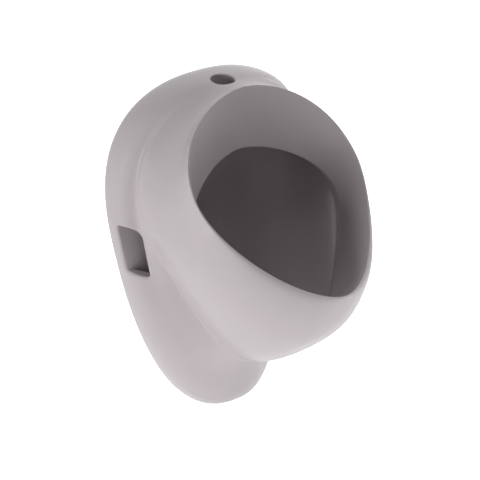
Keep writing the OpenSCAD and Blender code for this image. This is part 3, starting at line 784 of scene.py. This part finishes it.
def plainRing(inner, outer, span, place):
    a, b = span
    return turnedRing([(inner, a), (outer, a), (outer, b), (inner, b)], place)


def threadShape(outer, deep, pitch, start, end):
    # a V thread that runs out at both ends
    def radiusAt(radius, along, t):
        if radius < outer - turning["sameRadius"] or not start < along < end:
            return radius
        phase = (along / pitch - t / (2 * np.pi)) % 1
        fade = min(1, (along - start) / pitch, (end - along) / pitch)
        return radius - deep * fade * abs(2 * phase - 1)
    return radiusAt


def threadSteps(radius, start, end, pitch):
    count = max(2, int(abs(end - start) / pitch * turning["threadRows"]))
    return [(radius, v) for v in np.linspace(start, end, count)]


def finishedPiece(node, parts, slot, body=urinalBody, sharpAngle=turning["sharpAngle"]):
    piece = joinedMesh(node + "Made", parts)
    smoothByAngle(piece, sharpAngle)
    piece.data.materials.append(slotFinishes[slot])
    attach(piece, body)
    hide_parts(node)
    print(node, len(piece.data.vertices), "vertices")
    return piece


def cutWith(piece, parts):
    applyBooleans(piece, (("DIFFERENCE", joinedMesh("cutter", parts)),))
    smoothByAngle(piece, turning["sharpAngle"])


fixings = {
    "boltRound": 4.0, "boltFront": -40.4, "boltEnd": 22.0, "boltTip": 1.0, "boltSteps": 24,
    "boltPitch": 1.25, "threadDeep": 0.42, "boltSharpAngle": 60,
    "nutFlats": 13.0, "nutHigh": 6.5, "nutFaceShare": 0.96, "nutEdge": 0.5, "nutSteps": 96,
    "nutCornerRows": 6, "nutSharpAngle": 25,
    "washerRound": 9.0, "washerThick": 1.6, "collarThick": 2.0, "sleeveRound": 5.8,
    "anchorRound": 6.0, "anchorFront": 0.3, "anchorEnd": 50.3, "anchorBore": 22.5, "anchorTip": 1.0,
    "anchorEdge": 0.6, "anchorBoreEdge": 0.3, "anchorRows": 60, "anchorSteps": 72,
    "slitDeep": 0.7, "slitWide": 0.16, "slitLongShare": 0.8, "ringDeep": 0.25, "ringTurn": 2.1,
}


def makeFixings():
    f, thick = fixings, openings["padThick"]
    collar = -thick - f["collarThick"]
    washer = collar - f["washerThick"]
    nut = washer - f["nutHigh"]
    bolt, bore = f["boltRound"], f["boltRound"] + turning["boreGap"]
    across, shell = f["nutFlats"] / 2, f["anchorRound"]
    corner = across / math.cos(math.pi / 6)

    def hexagon(radius, along, t):
        flat = across / math.cos((t + math.pi / 6) % (math.pi / 3) - math.pi / 6)
        return min(radius, flat)

    def slitAnchor(radius, along, t):
        if radius < shell - turning["sameRadius"] or along > f["slitLongShare"] * f["anchorEnd"]:
            return radius
        slit = f["slitDeep"] * max(0, 1 - abs(math.sin(2 * t)) / f["slitWide"])
        return radius - slit - f["ringDeep"] * (0.5 + 0.5 * math.cos(along * f["ringTurn"]))

    tip, pitch = f["boltTip"], f["boltPitch"]
    start, end = f["boltFront"] + tip, f["boltEnd"] - tip
    thread = threadShape(bolt, f["threadDeep"], pitch, start, end)
    studOutline = [(bolt - tip, f["boltFront"]), *threadSteps(bolt, start, end, pitch),
                   (bolt - tip, f["boltEnd"])]

    face, edge = across * f["nutFaceShare"], f["nutEdge"]
    rise = (corner - face) * math.tan(math.pi / 6)
    slope = [(face + (corner - face) * v, rise * v) for v in np.linspace(0, 1, f["nutCornerRows"])]
    nutOutline = [(bore + edge, nut), *((r, nut + d) for r, d in slope),
                  *((r, washer - d) for r, d in slope[::-1]),
                  (bore + edge, washer), (bore, washer - edge), (bore, nut + edge)]

    sleeveOutline = [(bore, collar), (f["washerRound"], collar), (f["washerRound"], -thick),
                     (f["sleeveRound"], -thick), (f["sleeveRound"], 0), (bore, 0)]

    tip, edge, inner = f["anchorTip"], f["anchorEdge"], f["anchorBoreEdge"]
    start, end = f["anchorFront"], f["anchorEnd"]
    rows = np.linspace(end - 2 * tip, start + edge, f["anchorRows"])
    anchorOutline = [(shell - tip, end), (shell, end - tip), *((shell, v) for v in rows),
                     (shell - edge, start), (bore + inner, start), (bore, start + inner),
                     (bore, f["anchorBore"])]

    bolts, nuts, washers, sleeves, anchors = [], [], [], [], []
    for side in (-1, 1):
        place = atFixing(side)
        bolts.append(cappedLoft(turnedLoops(studOutline, place, f["boltSteps"], thread)))
        nuts.append(closedLoft(turnedLoops(nutOutline, place, f["nutSteps"], hexagon)))
        washers.append(plainRing(bore, f["washerRound"], (washer, collar), place))
        sleeves.append(turnedRing(sleeveOutline, place))
        anchors.append(cappedLoft(turnedLoops(anchorOutline, place, f["anchorSteps"], slitAnchor)))
    finishedPiece("fixing_bolts", bolts, "steel", sharpAngle=f["boltSharpAngle"])
    finishedPiece("fixing_nuts", nuts, "steel", sharpAngle=f["nutSharpAngle"])
    finishedPiece("fixing_washers", washers, "steel")
    finishedPiece("fixing_sleeves", sleeves, "nylon")
    finishedPiece("wall_anchors", anchors, "steel")


waste = {
    "flangeBottom": 124.0, "flangeTop": 128.0, "flangeRound": 28.0, "boreRound": 17.5,
    "flangeEdge": ((0, 1.2), (1.0, 0.2), (2.0, 0)),         # inwards and down, over the rim
    "seatEdge": 0.3, "boreEdge": 0.4,
    "threadRound": 21.0, "threadFoot": 96.5, "threadTop": 110.0, "threadPitch": 2.2,
    "threadDeep": 0.55, "topSeal": (122.5, 124.0), "topSealRound": 27.9,
    "floorSeal": (106.5, 110.5), "slipWasher": (105.5, 106.5), "sealInner": 21.2,
}
strainer = {
    "seat": 126.0, "round": 21.5, "thick": 2.0, "edge": (0.8, 0.5), "restGap": 0.3, "steps": 96,
    "slots": 12, "slotFrom": 7.6, "slotTo": 16.0, "slotHalf": 1.5, "slotSteps": 8, "cutPast": 1.0,
    "screwRound": 2.5, "screwLong": 7.0, "screwTip": (1.0, 0.8), "screwSteps": 40,
    "threadPitch": 0.8, "threadDeep": 0.25, "threadRest": 1.0,
    "headRound": 4.5, "headHigh": 1.0, "headEdge": 0.3, "headDomeShares": ((0.8, 0.8), (0.4, 1.0)),
    "headSlot": 0.5,
}


def stadium(start, end, half, levels, turn):
    # loops of a slot with round ends, turned about the waste's axis
    arc = np.linspace(-math.pi / 2, math.pi / 2, strainer["slotSteps"])
    flat = [(end + half * math.cos(t), half * math.sin(t)) for t in arc]
    flat += [(start - half * math.cos(t), -half * math.sin(t)) for t in arc]
    s, c = math.sin(turn), math.cos(turn)
    flat = [(x * c - y * s, x * s + y * c) for x, y in flat]
    return cappedLoft([[onWaste(x, y, level) for x, y in flat] for level in levels])


def makeWaste():
    w, seat, plateRound = waste, strainer["seat"], strainer["round"]
    top, rim, edge, inner = w["flangeTop"], w["flangeRound"], w["seatEdge"], w["boreEdge"]
    thread, foot, pitch = w["threadRound"], w["threadFoot"], w["threadPitch"]
    outline = [(w["boreRound"], foot), *threadSteps(thread, foot, w["flangeBottom"], pitch),
               (rim, w["flangeBottom"]),
               *((rim - inwards, top - down) for inwards, down in w["flangeEdge"]),
               (plateRound + edge, top), (plateRound, top - edge), (plateRound, seat),
               (w["boreRound"] + inner, seat), (w["boreRound"], seat - inner)]
    shape = threadShape(thread, w["threadDeep"], pitch, foot, w["threadTop"])
    flange = closedLoft(turnedLoops(outline, onWaste, turning["aroundSteps"], shape))
    finishedPiece("waste_flange", [flange], "chrome")
    for node, span, outer, slot in (
            ("waste_top_seal", w["topSeal"], w["topSealRound"], "rubber"),
            ("floor_seal", w["floorSeal"], rim, "rubber"),
            ("slip_washer", w["slipWasher"], rim, "nylon")):
        finishedPiece(node, [plainRing(w["sealInner"], outer, span, onWaste)], slot)


def makeStrainer():
    p = strainer
    low = p["seat"] + p["restGap"]
    high, rim = low + p["thick"], p["round"] - p["restGap"]
    hole, (inwards, down) = p["screwRound"] + turning["boreGap"], p["edge"]
    outline = [(hole, low), (rim, low), (rim, high - down), (rim - inwards, high), (hole, high)]
    disc = turnedRing(outline, onWaste, p["steps"])
    plate = finishedPiece("strainer", [disc], "chrome", cartridgeBody)
    half, past = p["slotHalf"], p["cutPast"]
    turns = 2 * math.pi * (np.arange(p["slots"]) + 0.5) / p["slots"]
    start, end, levels = p["slotFrom"] + half, p["slotTo"] - half, (low - past, high + past)
    cutWith(plate, [stadium(start, end, half, levels, turn) for turn in turns])

    foot, (inwards, long), pitch = high - p["screwLong"], p["screwTip"], p["threadPitch"]
    start, head = foot + p["threadRest"], p["headRound"]
    outline = [(p["screwRound"] - inwards, foot), (p["screwRound"], foot + long),
               *threadSteps(p["screwRound"], start, high, pitch),
               (head, high), (head, high + p["headEdge"]),
               *((head * wide, high + p["headHigh"] * rise) for wide, rise in p["headDomeShares"])]
    thread = threadShape(p["screwRound"], p["threadDeep"], pitch, start, high - p["threadRest"])
    turned = cappedLoft(turnedLoops(outline, onWaste, p["screwSteps"], thread))
    screw = finishedPiece("strainer_screw", [turned], "steel", cartridgeBody)
    reach, half = head + past, p["headSlot"]
    corners = ((-reach, -half), (reach, -half), (reach, half), (-reach, half))
    levels = (high + p["headHigh"] / 2, high + p["headHigh"] + past)
    cutWith(screw, [cappedLoft([[onWaste(x, y, level) for x, y in corners] for level in levels])])


trap = {
    "round": 26.2, "wall": 3.0, "steps": 144,
    "cupBottom": 23.171, "cupTop": 57.4, "cupRound": 17.11, "cupRows": 14,
    "sideStart": 0.5, "sideRows": 24, "edge": 0.4,
    "grips": 18, "gripHigh": 0.9, "gripZone": (38.0, 55.0), "gripFade": 3.0,
    "seal": (57.4, 59.4), "spigotRound": 23.2,
}


def makeTrapCup():
    c = trap
    bottom, top, wall, edge = c["cupBottom"], c["cupTop"], c["wall"], c["edge"]

    def bowlCurve(radius, low, bend):
        return [(radius - bend + bend * math.sin(t), low + bend - bend * math.cos(t))
                for t in np.linspace(0, math.pi / 2, c["cupRows"])]

    def grips(radius, along, t):
        low, high = c["gripZone"]
        if radius < c["round"] - turning["sameRadius"]:
            return radius
        fade = c["gripFade"]
        zone = easeBetween(along, low, low + fade) * (1 - easeBetween(along, high - fade, high))
        return radius + c["gripHigh"] * zone * max(0, math.cos(c["grips"] * t)) ** 2

    outer = bowlCurve(c["round"], bottom, c["cupRound"])
    inner = bowlCurve(c["round"] - wall, bottom + wall, c["cupRound"] - wall)
    sides = np.linspace(outer[-1][1] + c["sideStart"], top - edge, c["sideRows"])
    outline = [*outer, *((c["round"], v) for v in sides), (c["round"] - edge, top),
               (c["round"] - wall + edge, top), (c["round"] - wall, top - edge), *inner[::-1]]
    finishedPiece("trap_cup", [cappedLoft(turnedLoops(outline, onWaste, c["steps"], grips))],
                  "white_plastic")
    finishedPiece("trap_cup_seal", [plainRing(c["spigotRound"], c["round"], c["seal"], onWaste)],
                  "rubber")


outlet = {
    "height": 81.8,         # above the foot of the housing
    "nutRound": 23.6, "nutBore": 19.6, "nutFront": -23.499, "nutLip": -6.5, "nutEnd": -3.5,
    "frontEdge": 0.4, "endEdge": 0.8, "lipEdge": 0.3, "nutRows": 26, "nutSteps": 192,
    "grips": 12, "gripHigh": 1.5, "gripLong": 12.0, "gripFade": 1.5, "gripSharpness": 24,
    "socketRound": 19.4, "pipeGap": 16.2, "slipRing": (-8.3, -6.5), "seal": (-11.3, -8.3),
    "sealBore": 16.1, "pipeRound": 16.0, "pipeBore": 14.2, "pipeFront": -26.299, "pipeEnd": 70.0,
    "pipeTaper": (0.8, 2.0),
    "sleeveRound": 23.0, "sleeveFlange": 26.0, "sleeveFlangeThick": 2.0, "sleeveEnd": 30.0,
    "sleeveBore": 16.1, "sleeveTaper": (2.4, 1.5), "lips": (8.0, 15.0, 22.0), "lipDeep": 1.6,
    "lipBefore": 1.8, "lipAfter": 0.6,
}


def onOutlet(x, z, along):
    return x, along, z + outlet["height"] - fixHeight


def makeOutlet():
    o = outlet
    rim, front, end, lip = o["nutRound"], o["nutFront"], o["nutEnd"], o["nutLip"]

    def grips(radius, along, t):
        if radius < rim:
            return radius
        zone = easeBetween(front + o["gripLong"] - along, 0, o["gripFade"])
        wave = max(0, math.cos(o["grips"] * t / 2)) ** o["gripSharpness"]
        return radius + o["gripHigh"] * zone * wave

    edge, endEdge, lipEdge = o["frontEdge"], o["endEdge"], o["lipEdge"]
    outline = [(o["nutBore"], front + edge), (o["nutBore"] + edge, front), (rim - edge, front),
               *((rim, v) for v in np.linspace(front + edge, end - endEdge, o["nutRows"])),
               (rim - endEdge, end), (o["pipeGap"] + lipEdge, end), (o["pipeGap"], end - lipEdge),
               (o["pipeGap"], lip), (o["nutBore"], lip)]
    finishedPiece("outlet_nut", [closedLoft(turnedLoops(outline, onOutlet, o["nutSteps"], grips))],
                  "white_plastic")
    ring = plainRing(o["pipeGap"], o["socketRound"], o["slipRing"], onOutlet)
    finishedPiece("outlet_slip_ring", [ring], "nylon")
    seal = plainRing(o["sealBore"], o["socketRound"], o["seal"], onOutlet)
    finishedPiece("outlet_seal", [seal], "rubber")

    inwards, long = o["pipeTaper"]
    pipe = [(o["pipeBore"], o["pipeFront"]), (o["pipeRound"], o["pipeFront"]),
            (o["pipeRound"], o["pipeEnd"] - long), (o["pipeRound"] - inwards, o["pipeEnd"]),
            (o["pipeBore"], o["pipeEnd"])]
    finishedPiece("outlet_pipe", [turnedRing(pipe, onOutlet)], "white_plastic")

    core, (inwards, long) = o["sleeveRound"] - o["lipDeep"], o["sleeveTaper"]
    lips = []
    for middle in o["lips"]:
        lips += [(core, middle - o["lipBefore"]), (o["sleeveRound"], middle),
                 (core, middle + o["lipAfter"])]
    flange, thick = o["sleeveFlange"], o["sleeveFlangeThick"]
    sleeve = [(o["sleeveBore"], 0), (flange, 0), (flange, thick), (core, thick), *lips,
              (core, o["sleeveEnd"] - long),
              (o["sleeveRound"] - inwards, o["sleeveEnd"]), (o["sleeveBore"], o["sleeveEnd"])]
    finishedPiece("wall_sleeve", [turnedRing(sleeve, onOutlet)], "rubber")


makeFixings()
makeWaste()
makeStrainer()
makeTrapCup()
makeOutlet()
print("fittings made")


# The other CAD nodes keep their shape and get the real finish
for nodeName, slotName in (("dip_tube", "white_plastic"), ("dip_tube_seal", "rubber"),
                           ("trap_body", "white_plastic")):
    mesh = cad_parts[nodeName].data
    mesh.materials.clear()
    mesh.materials.append(slotFinishes[slotName])
print("CAD nodes finished")


# Studio: plain pale floor, white surroundings, soft light
studio = {
    "floorDrop": 0.62,
    "lampAim": (0, -0.14, -0.03),
    "floorSize": 30.0,
    "floorLow": (0.79, 0.79, 0.79),
    "floorHigh": (0.80, 0.80, 0.80),
    "floorRough": 0.9,
    "speckScale": 6.0,
    "speckDetail": 4.0,
    "worldColour": (1.0, 1.0, 1.0),
    "worldStrength": 0.12,
    "floorGlow": (0.7, 1.0),        # floor's own light towards the camera, near and far off
    "floorGlowReach": (0.6, 1.6),
}


def cameraOrMirrorRay(tree):
    path = addNode(tree, "ShaderNodeLightPath")
    out = path.outputs["Is Camera Ray"]
    for ray in ("Is Glossy Ray", "Is Transmission Ray"):
        either = addNode(tree, "ShaderNodeMath", operation="MAXIMUM")
        tree.links.new(out, either.inputs[0])
        tree.links.new(path.outputs[ray], either.inputs[1])
        out = either.outputs[0]
    return out


def makeWorld():
    world = bpy.data.worlds.new("studioWorld")
    scene.world = world
    world.use_nodes = True
    tree = world.node_tree
    tree.nodes.clear()
    light = addNode(tree, "ShaderNodeBackground", Strength=studio["worldStrength"])
    light.inputs["Color"].default_value = (*studio["worldColour"], 1)
    white = addNode(tree, "ShaderNodeBackground", Strength=1.0)
    white.inputs["Color"].default_value = (1, 1, 1, 1)
    mix = addNode(tree, "ShaderNodeMixShader")
    out = addNode(tree, "ShaderNodeOutputWorld")
    tree.links.new(cameraOrMirrorRay(tree), mix.inputs[0])
    tree.links.new(light.outputs[0], mix.inputs[1])
    tree.links.new(white.outputs[0], mix.inputs[2])
    tree.links.new(mix.outputs[0], out.inputs["Surface"])


def makeFloor():
    half = studio["floorSize"] / 2
    z = -studio["floorDrop"]
    corners = [(-half, -half, z), (half, -half, z), (half, half, z), (-half, half, z)]
    floor = meshObject("studioFloor", corners, [(0, 1, 2, 3)])
    material, tree, shader = newMaterial("paleFloor")
    speck = noiseOf(tree, studio["speckScale"], studio["speckDetail"])
    colour = colourBetween(tree, speck.outputs["Fac"], studio["floorLow"], studio["floorHigh"])
    tree.links.new(colour, shader.inputs["Base Color"])
    shader.inputs["Roughness"].default_value = studio["floorRough"]
    # the camera sees the lit floor, with its shadow, plus a glow that turns it white further off
    where = addNode(tree, "ShaderNodeTexCoord")
    length = addNode(tree, "ShaderNodeVectorMath", operation="LENGTH")
    tree.links.new(where.outputs["Object"], length.inputs[0])
    glow = mappedValue(tree, length.outputs["Value"], studio["floorGlowReach"], studio["floorGlow"])
    near = addNode(tree, "ShaderNodeEmission")
    tree.links.new(glow, near.inputs["Strength"])
    seen = addNode(tree, "ShaderNodeAddShader")
    tree.links.new(shader.outputs[0], seen.inputs[0])
    tree.links.new(near.outputs[0], seen.inputs[1])
    mirrored = addNode(tree, "ShaderNodeEmission", Strength=1.0)
    path = addNode(tree, "ShaderNodeLightPath")
    out = shader.outputs[0]
    for ray, look in (("Is Camera Ray", seen), ("Is Glossy Ray", mirrored),
                      ("Is Transmission Ray", mirrored)):
        mix = addNode(tree, "ShaderNodeMixShader")
        tree.links.new(path.outputs[ray], mix.inputs[0])
        tree.links.new(out, mix.inputs[1])
        tree.links.new(look.outputs[0], mix.inputs[2])
        out = mix.outputs[0]
    tree.links.new(out, tree.nodes["Material Output"].inputs["Surface"])
    floor.data.materials.append(material)


def makeLamp(name, azimuth, elevation, distance, size, power):
    # azimuth 0 shines from in front, 90 from the right
    a, e = math.radians(azimuth), math.radians(elevation)
    towards = Vector((math.sin(a) * math.cos(e), -math.cos(a) * math.cos(e), math.sin(e)))
    data = bpy.data.lights.new(name, "AREA")
    data.shape = "DISK"
    data.size = size
    data.energy = power
    lamp = bpy.data.objects.new(name, data)
    scene.collection.objects.link(lamp)
    lamp.location = Vector(studio["lampAim"]) + towards * distance
    lamp.rotation_euler = (-towards).to_track_quat("-Z", "Y").to_euler()
    lamp.visible_camera = False
    lamp.visible_glossy = False


# azimuth, elevation, distance, size, power
lamps = {
    "leftSoftbox": (270, 5, 2.2, 1.1, 30.7),
    "rightSoftbox": (90, 5, 2.2, 1.1, 8.0),
    "backSoftbox": (180, 5, 2.2, 1.1, 10.0),
    "rightBackSoftbox": (120, 38, 2.2, 1.1, 19.3),
    "topSoftbox": (0, 72, 2.2, 1.1, 6.8),
    "topRightSoftbox": (90, 72, 2.2, 1.1, 7.3),
    "frontRightLamp": (30, -15, 1.6, 0.8, 3.7),
    "lowRightLamp": (30, -38, 0.62, 0.45, 1.14),
    "lowLeftLamp": (330, -38, 0.62, 0.45, 0.63),
    "lowBackLamp": (210, -38, 0.62, 0.45, 0.64),
}
makeWorld()
makeFloor()
for lampName, values in lamps.items():
    makeLamp(lampName, *values)
scene.view_settings.view_transform = "Standard"
print("studio made")
